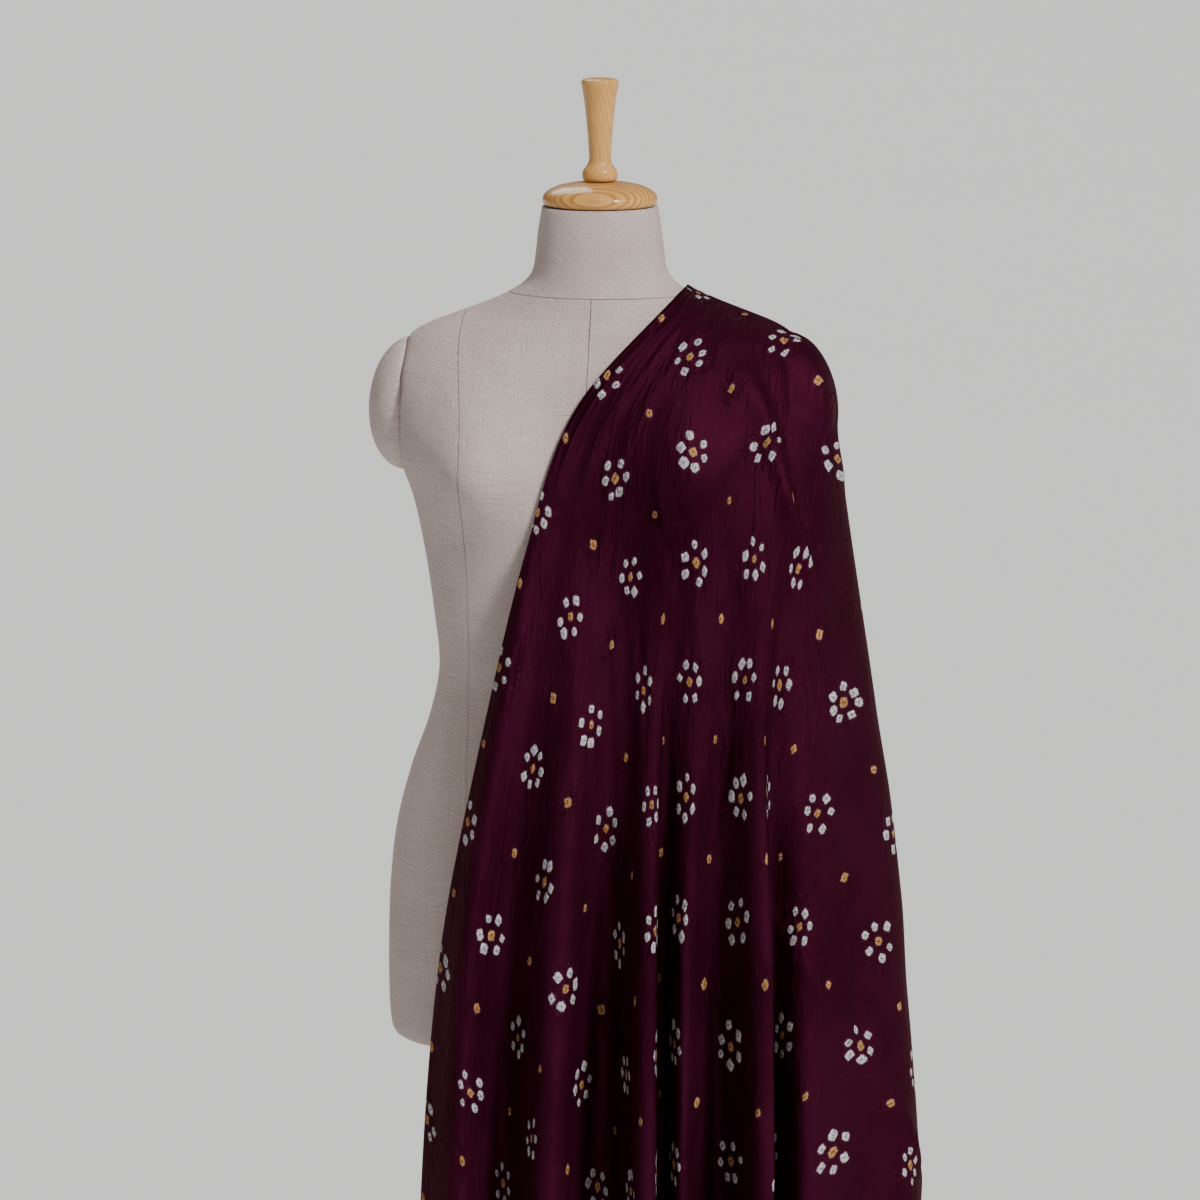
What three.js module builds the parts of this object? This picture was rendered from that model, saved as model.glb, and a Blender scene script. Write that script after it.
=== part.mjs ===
// A bandhani cloth, draped over one shoulder of a linen dress form on a turned stand.
//
// Millimetres, +Z up. The origin is on the floor, at the middle of the foot. The form faces -Y,
// so its left shoulder, which carries the cloth, is on the +X side.
import * as THREE from "three";
import { mergeVertices } from "three/addons/utils/BufferGeometryUtils.js";

// Driving dimensions of the form
const HIP_BOTTOM_Z = 757;
const NECK_TOP_Z = 1490;
const ARMHOLE_X = 166;
const ARMHOLE_Z = 1316.5;
const ARM_CAP = {
  halfHeight: 58,
  halfDepth: 50,
  reach: 35.5,
  backShare: 0.94,
  rimDeg: 12,
  arcs: 7,
  steps: 28,
  fullness: { across: 0.95, out: 1 },
  tipDrop: 5,
};
const BUST = { x: 98, z: 1266, wide: 50, below: 49, above: 62, rise: 36, edgePower: 6 };
const SEAT_GAP = 0.3;

// Sections of the torso: height, half width, depth in front of and behind the pole's axis, and
// the power of the superellipse, from 2 for an oval down to a pointed wing at the shoulders
const TORSO_SECTIONS = [
  { z: 757, half: 174, front: 88, back: 108, power: 2.2 },
  { z: 761, half: 180, front: 95, back: 115, power: 2.2 },
  { z: 770, half: 184, front: 99, back: 119, power: 2.2 },
  { z: 800, half: 186, front: 102, back: 124, power: 2.2 },
  { z: 850, half: 186, front: 105, back: 128, power: 2.2 },
  { z: 900, half: 184, front: 105, back: 127, power: 2.2 },
  { z: 950, half: 178, front: 102, back: 120, power: 2.2 },
  { z: 1000, half: 165, front: 98, back: 108, power: 2.2 },
  { z: 1045, half: 149, front: 93, back: 96, power: 2.2 },
  { z: 1088, half: 140.5, front: 90, back: 88, power: 2.2 },
  { z: 1140, half: 145, front: 93, back: 88, power: 2.3 },
  { z: 1190, half: 152, front: 98, back: 93, power: 2.4 },
  { z: 1240, half: 162, front: 102, back: 98, power: 2.6 },
  { z: 1280, half: 176, front: 102, back: 101, power: 2.9 },
  { z: 1320, half: 180, front: 96, back: 100, power: 2.9 },
  { z: 1350, half: 177, front: 87, back: 95, power: 2.7 },
  { z: 1366, half: 170, front: 80, back: 90, power: 2.4 },
  { z: 1377.5, half: 165, front: 74, back: 85, power: 2.1 },
  { z: 1385, half: 154, front: 71, back: 81, power: 1.9 },
  { z: 1391, half: 140, front: 68, back: 78, power: 1.8 },
  { z: 1397.5, half: 123, front: 65, back: 74, power: 1.7 },
  { z: 1405, half: 103, front: 63, back: 71, power: 1.7 },
  { z: 1412.5, half: 85, front: 61, back: 68, power: 1.8 },
  { z: 1422.5, half: 68, front: 59, back: 65, power: 1.9 },
  { z: 1433, half: 59, front: 57, back: 62, power: 2 },
  { z: 1449, half: 55.7, front: 56, back: 59, power: 2 },
  { z: 1469, half: 53.5, front: 54, back: 56, power: 2 },
  { z: 1490, half: 50, front: 51, back: 52, power: 2 },
];
const TORSO_STEPS = 44;
const CLOSE_SECTIONS = { from: 1130, to: 1350 };

// Driving dimensions of the cloth, cut WIDTH by LENGTH and hung over the shoulder at half length
const CLOTH_WIDTH = 980;
const CLOTH_LENGTH = 1800;
const CLOTH_THICK = 2;
const CLOTH_CLEAR = 4;
const SHOULDER_LIFT = { rise: 4, from: 1340, to: 1395 };
const MOST_SLANT = 2.5;
const SOFT_TOUCH = 6;
const PAD_STARTS = -0.3;
const BIAS_STRETCH = 0.06;
const DRAPE_TURN_DEG = 7.5;
const FALL_ROWS = 26;
const ROW_CROWDING = 1.5;
const STEPS_BETWEEN_FOLDS = 2;
const LINE_STEPS = 90;
const LINE_CROWDING = 1.8;
const LINE_END_Z = -260;

// How far a fall has moved from the shoulder line to its place at the chest, half way down, and
// how much of its last spread it keeps below the low level
const SHOULDER_BEND = { across: 0.69, out: 0.62 };
const FLARE_BELOW = 0.9;

// The line where the cloth lies over the shoulder and the arm: the width of cloth used since the
// neck point, and the place there
const SHOULDER_LINE = [
  { used: 0, x: 75, y: 2, z: 1422 },
  { used: 40, x: 101, y: 2, z: 1410 },
  { used: 88, x: 136, y: 2, z: 1396.6 },
  { used: 132, x: 165, y: 0, z: 1383.2 },
  { used: 170, x: 190, y: -2, z: 1365 },
  { used: 210, x: 204.5, y: -4, z: 1329 },
  { used: 264, x: 207.5, y: -4, z: 1282 },
];

// Heights at which the fold tables give the place of each fold
const LEVELS = { chest: 1240, waist: 1040, hip: 850, low: 620, hem: 60 };

// Folds of the front, from the selvedge at the neck to the side. start is the width of cloth used
// along the shoulder line, lean the angle of the fall from the selvedge in the flat cloth. across
// is measured to the right of the pole, out towards the front, both square to the drape's turn.
const FRONT_FOLDS = [
  { name: "selvedge", start: 0, lean: 0, across: [-53, -102, -138, -156], out: [100, 108, 98, 98] },
  { name: "edge_roll", start: 5, lean: 6.5, across: [-47, -88, -113, -121], out: [100, 132, 142, 152] },
  { name: "first_valley", start: 10, lean: 11.5, across: [-36, -62, -79, -84], out: [100, 128, 116, 102] },
  { name: "long_ridge", start: 16, lean: 17.5, across: [-6, -27, -38, -46], out: [100, 148, 162, 176] },
  { name: "long_valley", start: 26, lean: 25, across: [22, 13, 5, 1], out: [106, 136, 118, 94] },
  { name: "narrow_ridge", start: 38, lean: 34.5, across: [52, 46, 43, 42], out: [122, 158, 178, 194] },
  { name: "narrow_valley", start: 50, lean: 38.5, across: [67, 57, 53, 53], out: [130, 146, 132, 116] },
  { name: "short_ridge", start: 64, lean: 42.5, across: [91, 80, 73, 70], out: [138, 160, 172, 184] },
  { name: "short_valley", start: 92, lean: 45.5, across: [114, 104, 100, 104], out: [140, 148, 136, 122] },
  { name: "broad_ridge", start: 130, lean: 49, across: [142, 136, 142, 144], out: [138, 168, 188, 206] },
  { name: "hidden_valley", start: 168, lean: 53.5, across: [162, 146, 146, 147], out: [126, 144, 130, 116] },
  { name: "panel_front", start: 200, lean: 58.5, across: [178, 174, 176, 178], out: [110, 138, 150, 158] },
  { name: "panel_side", start: 230, lean: 65, across: [197, 208, 218, 226], out: [84, 102, 106, 104] },
  { name: "outer_turn", start: 252, lean: 74, across: [211.5, 240.5, 262.5, 280], out: [40, 44, 44, 44] },
];
const SIDE_FALL = {
  name: "side",
  start: 264,
  lean: 90,
  across: [207, 234, 253, 265],
  out: [-6, -40, -66, -84],
};

// The rows of the front folds between which the fall that ends in the cloth's corner lies
const CORNER_ROWS = { from: 6, to: 9 };
const CORNER_HALVINGS = 40;

// Folds of the back, which fall in even waves from the side to the selvedge at the neck
const BACK_SELVEDGE = { across: [-10, -46, -78, -94], out: [-100, -120, -132, -136] };
const BACK_WAVES = {
  count: 6,
  phase: 0.5,
  out: [-100, -142, -158, -160],
  depth: [0, 12, 26, 46],
  turn: 0.2,
  flatEdge: 0.1,
};

// Turned wood: radius and height of each profile, from the axis at the bottom to the axis on top
const NECK_CAP_PROFILE = [
  [0, 0], [47, 0], [49.4, 2.5], [50, 6], [48.6, 10],
  [44, 14], [36, 17.4], [26, 19.6], [15, 20.8], [0, 21],
];
const HANDLE_PROFILE = [
  [0, 0], [13.5, 0], [15.3, 2.5], [15.5, 6], [14.3, 10], [11.4, 13.5], [9.6, 17], [9.5, 22],
  [10.8, 42], [13, 64], [15.4, 80], [16.4, 84.5], [15.6, 87.6], [10, 88.8], [0, 89],
];
const BASE_PROFILE = [
  [0, 0], [164, 0], [168, 3], [170, 9], [168, 16], [160, 21],
  [120, 25], [60, 29], [34, 33], [28, 40], [0, 40],
];
const POLE_RADIUS = 17;
const WOOD_STEPS = 40;

const linen = new THREE.MeshStandardMaterial({ color: 0xcfc8bd, roughness: 0.9, metalness: 0 });
const wood = new THREE.MeshStandardMaterial({ color: 0xcd9b5f, roughness: 0.4, metalness: 0 });
const dyedCloth = new THREE.MeshStandardMaterial({ color: 0x4b142d, roughness: 0.6, metalness: 0 });

const degrees = THREE.MathUtils.degToRad;
const mix = THREE.MathUtils.lerp;

/** The value at x of a smooth curve through rows, which are sorted by their key xs. */
function smoothThrough(xs, ys, x) {
  const last = xs.length - 1;
  let i = 0;
  while (i < last - 1 && x > xs[i + 1]) i += 1;
  const slopeAt = (k) => {
    const a = Math.max(k - 1, 0);
    const b = Math.min(k + 1, last);
    return (ys[b] - ys[a]) / (xs[b] - xs[a]);
  };
  const wide = xs[i + 1] - xs[i];
  const t = (x - xs[i]) / wide;
  if (t < 0) return ys[i] + slopeAt(i) * (x - xs[i]);
  if (t > 1) return ys[i + 1] + slopeAt(i + 1) * (x - xs[i + 1]);
  const rest = 1 - t;
  return (
    ys[i] * rest * rest * (1 + 2 * t) +
    ys[i + 1] * t * t * (3 - 2 * t) +
    wide * t * rest * (slopeAt(i) * rest - slopeAt(i + 1) * t)
  );
}

const torsoColumn = (name) => TORSO_SECTIONS.map((section) => section[name]);
const TORSO = {
  z: torsoColumn("z"),
  half: torsoColumn("half"),
  front: torsoColumn("front"),
  back: torsoColumn("back"),
  power: torsoColumn("power"),
};

/** Width, depths and power of the torso's section at height z. */
function torsoSection(z) {
  const at = (name) => smoothThrough(TORSO.z, TORSO[name], z);
  return { half: at("half"), front: at("front"), back: at("back"), power: at("power") };
}

/** How far the bust stands out at a place on the front. */
function bustRise(x, z) {
  const down = (z - BUST.z) / (z < BUST.z ? BUST.below : BUST.above);
  const side = (Math.abs(x) - BUST.x) / BUST.wide;
  return BUST.rise * Math.exp(-side * side - down * down);
}

/** Depth of the torso in front of (side -1) or behind (side 1) the axis, at x and z. */
function torsoDepth(x, z, side) {
  const section = torsoSection(z);
  const share = Math.abs(x) / section.half;
  if (share >= 1) return 0;
  const depth = side < 0 ? section.front : section.back;
  const oval = depth * (1 - share ** section.power) ** (1 / section.power);
  return side < 0 ? oval + bustRise(x, z) * (1 - share ** BUST.edgePower) : oval;
}

/** A geometry of triangles whose shared points are merged. */
function solidFrom(positions, triangles) {
  const geometry = new THREE.BufferGeometry();
  geometry.setAttribute("position", new THREE.Float32BufferAttribute(positions, 3));
  geometry.setIndex(triangles);
  const merged = mergeVertices(geometry, 1e-4);
  merged.computeVertexNormals();
  return merged;
}

/** The linen-covered body of the form, with flat armholes. */
function torsoGeometry() {
  const heights = [];
  TORSO.z.forEach((z, i) => {
    heights.push(z);
    const close = z > CLOSE_SECTIONS.from && z < CLOSE_SECTIONS.to;
    if (close) heights.push((z + TORSO.z[i + 1]) / 2);
  });
  const positions = [];
  heights.forEach((z) => {
    const { half, front, back, power } = torsoSection(z);
    const wall = z > CLOSE_SECTIONS.from ? ARMHOLE_X : half;
    for (let k = 0; k < TORSO_STEPS; k += 1) {
      const turn = (2 * Math.PI * k) / TORSO_STEPS;
      const cos = Math.cos(turn);
      const sin = Math.sin(turn);
      const x = half * Math.sign(cos) * Math.abs(cos) ** (2 / power);
      const depth = sin < 0 ? front : back;
      let y = depth * Math.sign(sin) * Math.abs(sin) ** (2 / power);
      const share = Math.min(Math.abs(x) / half, 1);
      if (sin < 0) y -= bustRise(x, z) * (1 - share ** BUST.edgePower);
      positions.push(THREE.MathUtils.clamp(x, -wall, wall), y, z);
    }
  });
  const triangles = [];
  for (let r = 0; r < heights.length - 1; r += 1) {
    for (let k = 0; k < TORSO_STEPS; k += 1) {
      const a = r * TORSO_STEPS + k;
      const b = r * TORSO_STEPS + ((k + 1) % TORSO_STEPS);
      triangles.push(a, b, b + TORSO_STEPS, a, b + TORSO_STEPS, a + TORSO_STEPS);
    }
  }
  const bottom = positions.length / 3;
  const topRing = (heights.length - 1) * TORSO_STEPS;
  positions.push(0, 0, heights[0], 0, 0, heights[heights.length - 1]);
  for (let k = 0; k < TORSO_STEPS; k += 1) {
    const next = (k + 1) % TORSO_STEPS;
    triangles.push(bottom, next, k, bottom + 1, topRing + k, topRing + next);
  }
  return solidFrom(positions, triangles);
}

/** The pad that closes an armhole: a low dome on a flat oval back, towards +X. */
function armCapGeometry() {
  const { backShare, rimDeg, arcs, steps, fullness, tipDrop } = ARM_CAP;
  const profile = [new THREE.Vector2(0, 0), new THREE.Vector2(backShare, 0)];
  for (let i = 0; i <= arcs; i += 1) {
    const turn = degrees(mix(rimDeg, 90, i / arcs));
    const across = Math.cos(turn) ** fullness.across;
    profile.push(new THREE.Vector2(i < arcs ? across : 0, Math.sin(turn) ** fullness.out));
  }
  const dome = new THREE.LatheGeometry(profile, steps);
  dome.rotateZ(-Math.PI / 2);
  dome.scale(ARM_CAP.reach, ARM_CAP.halfDepth, ARM_CAP.halfHeight);
  const places = dome.attributes.position;
  for (let i = 0; i < places.count; i += 1) {
    places.setZ(i, places.getZ(i) - (tipDrop * places.getX(i)) / ARM_CAP.reach);
  }
  return dome;
}

/** A turned piece, standing on its lowest face. */
function turned(profile, steps) {
  const lathe = new THREE.LatheGeometry(profile.map(([r, y]) => new THREE.Vector2(r, y)), steps);
  lathe.rotateX(Math.PI / 2);
  return lathe;
}

/** The place on the shoulder line where a width of cloth has been used. */
function shoulderPlace(used) {
  const along = SHOULDER_LINE.map((row) => row.used);
  const at = (name) => smoothThrough(along, SHOULDER_LINE.map((row) => row[name]), used);
  return new THREE.Vector3(at("x"), at("y"), at("z"));
}

/** Turns a place that is measured square to the drape's turn into the form's own frame. */
function turnedPlace(across, out, z) {
  const turn = degrees(DRAPE_TURN_DEG);
  return new THREE.Vector3(
    across * Math.cos(turn) + out * Math.sin(turn),
    across * Math.sin(turn) - out * Math.cos(turn),
    z,
  );
}

/** Depth of the form, with its left arm pad, in front of or behind the axis, at x and z. */
function formDepth(x, z, side) {
  const across = (x - ARMHOLE_X) / (ARM_CAP.reach + CLOTH_CLEAR);
  const out = Math.max(across, 0);
  const up = (z - ARMHOLE_Z + ARM_CAP.tipDrop * out) / (ARM_CAP.halfHeight + CLOTH_CLEAR);
  const round = 1 - out * out - up * up;
  const pad = across > PAD_STARTS && round > 0 ? ARM_CAP.halfDepth * Math.sqrt(round) : 0;
  return Math.max(torsoDepth(x, z, side), pad);
}

/** Keeps a place of the cloth clear of the form, on the side -1 (front) or 1 (back). */
function settled(place, side) {
  if (place.z > NECK_TOP_Z) return place;
  const lifted = THREE.MathUtils.smoothstep(place.z, SHOULDER_LIFT.from, SHOULDER_LIFT.to);
  const z = Math.max(place.z - SHOULDER_LIFT.rise * lifted, HIP_BOTTOM_Z);
  const skin = formDepth(place.x, z, side);
  if (skin === 0) return place;
  const steepX = (formDepth(place.x + 1, z, side) - formDepth(place.x - 1, z, side)) / 2;
  const steepZ = (formDepth(place.x, z + 1, side) - formDepth(place.x, z - 1, side)) / 2;
  const slant = Math.min(Math.hypot(1, steepX, steepZ), MOST_SLANT);
  const clear = (CLOTH_CLEAR + CLOTH_THICK / 2) * mix(slant, 1, lifted);
  const depth = side * place.y;
  const over = skin + clear - depth;
  if (over < -SOFT_TOUCH) return place;
  const lift = over > SOFT_TOUCH ? over : (over + SOFT_TOUCH) ** 2 / (4 * SOFT_TOUCH);
  place.y = side * (depth + lift);
  return place;
}

/** One fall of the cloth, as points from the shoulder line to below the hem. */
function fallLine(fold, side) {
  const start = shoulderPlace(fold.start);
  const turn = degrees(DRAPE_TURN_DEG);
  const startAcross = start.x * Math.cos(turn) + start.y * Math.sin(turn);
  const startOut = start.x * Math.sin(turn) - start.y * Math.cos(turn);
  const { chest, waist, hip, low, hem } = LEVELS;
  const drops = [start.z, mix(start.z, chest, 0.5), chest, waist, hip, low, hem].map((z) => -z);
  const rows = (first, [atChest, atWaist, atHip, atLow], bend) => {
    const atHem = atLow + (atLow - atHip) * FLARE_BELOW;
    return [first, mix(first, atChest, bend), atChest, atWaist, atHip, atLow, atHem];
  };
  const acrossRows = rows(startAcross, fold.across, SHOULDER_BEND.across);
  const outRows = rows(startOut, fold.out, SHOULDER_BEND.out);
  const points = [start];
  for (let i = 1; i <= LINE_STEPS; i += 1) {
    const z = mix(start.z, LINE_END_Z, (i / LINE_STEPS) ** LINE_CROWDING);
    const across = smoothThrough(drops, acrossRows, -z);
    const out = smoothThrough(drops, outRows, -z);
    points.push(settled(turnedPlace(across, out, z), side));
  }
  return points;
}

/** How far the flat cloth runs from the shoulder line to its hem along a fall. */
function fallLength(fold) {
  const lean = degrees(fold.lean);
  const toSide = (CLOTH_WIDTH - fold.start) / Math.max(Math.sin(lean), 1e-6);
  const toHem = CLOTH_LENGTH / 2 / Math.max(Math.cos(lean), 1e-6);
  return Math.min(toSide, toHem);
}

/** Points down one fall, evenly crowded towards the shoulder, at the flat cloth's distances. */
function fallPoints(fold, side) {
  const line = fallLine(fold, side);
  const run = [0];
  for (let i = 1; i < line.length; i += 1) run.push(run[i - 1] + line[i].distanceTo(line[i - 1]));
  const stretch = 1 + BIAS_STRETCH * Math.sin(degrees(2 * fold.lean)) ** 2;
  const length = fallLength(fold) * stretch;
  const points = [];
  for (let j = 0; j <= FALL_ROWS; j += 1) {
    const along = length * (j / FALL_ROWS) ** ROW_CROWDING;
    let i = 1;
    while (i < run.length - 1 && run[i] < along) i += 1;
    const share = (along - run[i - 1]) / (run[i] - run[i - 1]);
    points.push(line[i - 1].clone().lerp(line[i], share));
  }
  return points;
}

/** A fold at a share of the way between the rows of a fold table. */
function foldBetween(folds, place) {
  const rows = folds.map((_, i) => i);
  const at = (read) => smoothThrough(rows, folds.map(read), place);
  return {
    start: Math.max(at((fold) => fold.start), 0),
    lean: THREE.MathUtils.clamp(at((fold) => fold.lean), 0, 90),
    across: [0, 1, 2, 3].map((k) => at((fold) => fold.across[k])),
    out: [0, 1, 2, 3].map((k) => at((fold) => fold.out[k])),
  };
}

/** The place in a fold table whose fall ends in the cloth's corner. */
function cornerPlace(folds) {
  const past = (place) => {
    const fold = foldBetween(folds, place);
    return Math.tan(degrees(fold.lean)) * (CLOTH_LENGTH / 2) - (CLOTH_WIDTH - fold.start);
  };
  let { from, to } = CORNER_ROWS;
  for (let i = 0; i < CORNER_HALVINGS; i += 1) {
    const middle = (from + to) / 2;
    if (past(middle) > 0) to = middle;
    else from = middle;
  }
  return (from + to) / 2;
}

/** The places across the fold table at which falls are made, the corner's among them. */
function fallPlaces(count, corner) {
  const places = [];
  for (let i = 0; i <= count * STEPS_BETWEEN_FOLDS; i += 1) places.push(i / STEPS_BETWEEN_FOLDS);
  let nearest = 0;
  places.forEach((place, i) => {
    if (Math.abs(place - corner) < Math.abs(places[nearest] - corner)) nearest = i;
  });
  places[nearest] = corner;
  return places;
}

/** The fold of the back that shares its start and lean with one of the front. */
function backFold(place, count) {
  const front = foldBetween([...FRONT_FOLDS, SIDE_FALL], place);
  const share = place / count;
  const wave = Math.cos(2 * Math.PI * (BACK_WAVES.count * (1 - share) + BACK_WAVES.phase));
  const round = THREE.MathUtils.smoothstep(1 - share, 0, BACK_WAVES.turn);
  const flat = THREE.MathUtils.smoothstep(share, 0, BACK_WAVES.flatEdge);
  return {
    start: front.start,
    lean: front.lean,
    across: BACK_SELVEDGE.across.map((edge, k) => mix(edge, SIDE_FALL.across[k], share)),
    out: BACK_WAVES.out.map((out, k) => {
      const waved = mix(BACK_SELVEDGE.out[k], out + BACK_WAVES.depth[k] * wave, flat);
      return mix(SIDE_FALL.out[k], waved, round);
    }),
  };
}

/** The draped cloth: falls of the front and the back that meet along the shoulder line. */
function clothGeometry() {
  const front = [...FRONT_FOLDS, SIDE_FALL];
  const count = front.length - 1;
  const places = fallPlaces(count, cornerPlace(front));
  const falls = places.map((place) => fallPoints(foldBetween(front, place), -1));
  const backPlaces = places.slice(0, -1).reverse();
  backPlaces.forEach((place) => falls.push(fallPoints(backFold(place, count), 1)));
  const last = falls.length - 1;
  const rows = FALL_ROWS + 1;
  const points = falls.flat();
  const index = (q, j) => (j === 0 && q > last / 2 ? (last - q) * rows : q * rows + j);
  const triangles = [];
  for (let q = 0; q < last; q += 1) {
    for (let j = 0; j < FALL_ROWS; j += 1) {
      const [a, b] = [index(q, j), index(q + 1, j)];
      const [c, d] = [index(q, j + 1), index(q + 1, j + 1)];
      triangles.push([a, c, b], [b, c, d]);
    }
  }
  return thickened(points, triangles, CLOTH_THICK);
}

/** A closed sheet of a thickness about a surface of triangles. */
function thickened(points, triangles, thick) {
  const normals = points.map(() => new THREE.Vector3());
  const edges = new Map();
  triangles.forEach(([a, b, c]) => {
    const side = points[b].clone().sub(points[a]);
    const face = side.cross(points[c].clone().sub(points[a]));
    [a, b, c].forEach((k) => normals[k].add(face));
    [[a, b], [b, c], [c, a]].forEach(([from, to]) => edges.set(`${from},${to}`, [from, to]));
  });
  const positions = [];
  [1, -1].forEach((side) => {
    points.forEach((point, k) => {
      const place = point.clone().addScaledVector(normals[k].clone().normalize(), (side * thick) / 2);
      positions.push(place.x, place.y, place.z);
    });
  });
  const count = points.length;
  const faces = triangles.flatMap(([a, b, c]) => [a, b, c, c + count, b + count, a + count]);
  edges.forEach(([from, to]) => {
    if (edges.has(`${to},${from}`)) return;
    faces.push(to, from, from + count, to, from + count, to + count);
  });
  return solidFrom(positions, faces);
}

const object = new THREE.Group();

/** Adds a named piece to the object. */
function add(name, geometry, material, place = [0, 0, 0], turnZ = 0) {
  const mesh = new THREE.Mesh(geometry, material);
  mesh.name = name;
  mesh.position.set(...place);
  mesh.rotation.z = turnZ;
  object.add(mesh);
}

const baseTop = BASE_PROFILE[BASE_PROFILE.length - 1][1];
const poleTop = HIP_BOTTOM_Z - SEAT_GAP;
const poleLong = poleTop - baseTop - SEAT_GAP;
const poleProfile = [[0, 0], [POLE_RADIUS, 0], [POLE_RADIUS, poleLong], [0, poleLong]];
const capTop = NECK_CAP_PROFILE[NECK_CAP_PROFILE.length - 1][1];
const capZ = NECK_TOP_Z + SEAT_GAP;
const armCapX = ARMHOLE_X + SEAT_GAP;

add("base", turned(BASE_PROFILE, WOOD_STEPS), wood);
add("pole", turned(poleProfile, WOOD_STEPS), wood, [0, 0, baseTop + SEAT_GAP]);
add("torso", torsoGeometry(), linen);
add("arm_cap_left", armCapGeometry(), linen, [armCapX, 0, ARMHOLE_Z]);
add("arm_cap_right", armCapGeometry(), linen, [-armCapX, 0, ARMHOLE_Z], Math.PI);
add("neck_cap", turned(NECK_CAP_PROFILE, WOOD_STEPS), wood, [0, 0, capZ]);
add("neck_handle", turned(HANDLE_PROFILE, WOOD_STEPS), wood, [0, 0, capZ + capTop + SEAT_GAP]);
add("cloth", clothGeometry(), dyedCloth);

export default object;
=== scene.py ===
"""A bandhani cloth over one shoulder of a linen dress form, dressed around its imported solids."""

import logging
import math
from dataclasses import dataclass
from enum import Enum
from typing import Sequence, Union

import bpy
import numpy as np
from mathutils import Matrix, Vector


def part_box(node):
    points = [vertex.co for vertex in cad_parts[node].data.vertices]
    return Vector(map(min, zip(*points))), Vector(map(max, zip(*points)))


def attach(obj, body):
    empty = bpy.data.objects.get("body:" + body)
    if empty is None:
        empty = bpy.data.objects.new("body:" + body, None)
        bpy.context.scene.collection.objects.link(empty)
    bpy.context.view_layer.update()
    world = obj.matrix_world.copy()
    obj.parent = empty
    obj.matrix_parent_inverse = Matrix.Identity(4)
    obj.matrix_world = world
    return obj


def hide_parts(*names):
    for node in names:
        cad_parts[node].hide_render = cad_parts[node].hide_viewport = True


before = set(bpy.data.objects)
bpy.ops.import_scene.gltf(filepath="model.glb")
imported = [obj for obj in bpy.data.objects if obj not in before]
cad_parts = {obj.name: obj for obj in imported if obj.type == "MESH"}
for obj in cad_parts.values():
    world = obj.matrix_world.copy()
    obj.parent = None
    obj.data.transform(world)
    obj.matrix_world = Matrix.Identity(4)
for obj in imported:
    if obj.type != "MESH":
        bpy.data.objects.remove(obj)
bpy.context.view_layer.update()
BODY = "root"
MM = 0.001
SEED = 11

log = logging.getLogger("bandhani")
Array = np.ndarray
Colour = tuple[float, float, float]


def smooth_through(keys: Sequence[float], values: Sequence[float], at: Array) -> Array:
    """A smooth curve through rows.

    Args:
        keys: the rows' sorted keys.
        values: the rows' values.
        at: the keys at which the curve is read.

    Returns:
        The curve's values, which run straight on past both ends.
    """
    keys, values = np.asarray(keys, float), np.asarray(values, float)
    at = np.asarray(at, float)
    last = len(keys) - 1
    ends = np.arange(last + 1)
    before, after = np.maximum(ends - 1, 0), np.minimum(ends + 1, last)
    slopes = (values[after] - values[before]) / (keys[after] - keys[before])
    i = np.clip(np.searchsorted(keys, at, side="left") - 1, 0, last - 1)
    wide = keys[i + 1] - keys[i]
    t = (at - keys[i]) / wide
    rest = 1 - t
    inside = (
        values[i] * rest * rest * (1 + 2 * t)
        + values[i + 1] * t * t * (3 - 2 * t)
        + wide * t * rest * (slopes[i] * rest - slopes[i + 1] * t)
    )
    low = values[i] + slopes[i] * (at - keys[i])
    high = values[i + 1] + slopes[i + 1] * (at - keys[i + 1])
    return np.where(t < 0, low, np.where(t > 1, high, inside))


def smooth_step(x: Array, low: float, high: float) -> Array:
    """0 below low, 1 above high, and smooth between them."""
    t = np.clip((np.asarray(x, float) - low) / (high - low), 0, 1)
    return t * t * (3 - 2 * t)


def mix(a: Array, b: Array, share: Array) -> Array:
    """The value at a share of the way from a to b."""
    return a + (b - a) * share


def new_mesh(name: str, points: Array, faces: Sequence, smooth: bool = True) -> bpy.types.Object:
    """A mesh object in the scene.

    Args:
        name: the piece's name.
        points: the points, in millimetres.
        faces: the faces, as lists of point numbers.
        smooth: whether its faces are shaded smooth.

    Returns:
        The new object.
    """
    mesh = bpy.data.meshes.new(name)
    mesh.from_pydata((np.asarray(points) * MM).tolist(), [], [list(map(int, f)) for f in faces])
    mesh.polygons.foreach_set("use_smooth", [smooth] * len(mesh.polygons))
    mesh.update()
    piece = bpy.data.objects.new(name, mesh)
    bpy.context.scene.collection.objects.link(piece)
    return piece


def add_map(piece: bpy.types.Object, name: str, spots: Array) -> None:
    """Adds a flat map to a piece.

    Args:
        piece: the piece.
        name: the map's name.
        spots: the place of each of its points in the map, in millimetres.
    """
    layer = piece.data.uv_layers.new(name=name)
    corners = np.zeros(len(piece.data.loops), int)
    piece.data.loops.foreach_get("vertex_index", corners)
    layer.data.foreach_set("uv", (spots[corners] * MM).ravel())


def closed_faces(rings: int, steps: int) -> list:
    """The faces of a closed round body.

    Args:
        rings: how many rings of points it has.
        steps: how many points each ring has.

    Returns:
        Four-sided faces between the rings, and a fan at each end round its middle. The two
        middles are the points after the rings, the first ring's before the last one's.
    """
    r, k = np.meshgrid(np.arange(rings - 1), np.arange(steps), indexing="ij")
    a, b = r * steps + k, r * steps + (k + 1) % steps
    faces = np.stack([a, b, b + steps, a + steps], -1).reshape(-1, 4).tolist()
    first, last = rings * steps, (rings - 1) * steps
    for step in range(steps):
        after = (step + 1) % steps
        faces += [[first, after, step], [first + 1, last + step, last + after]]
    return faces


# Shader maths


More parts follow.
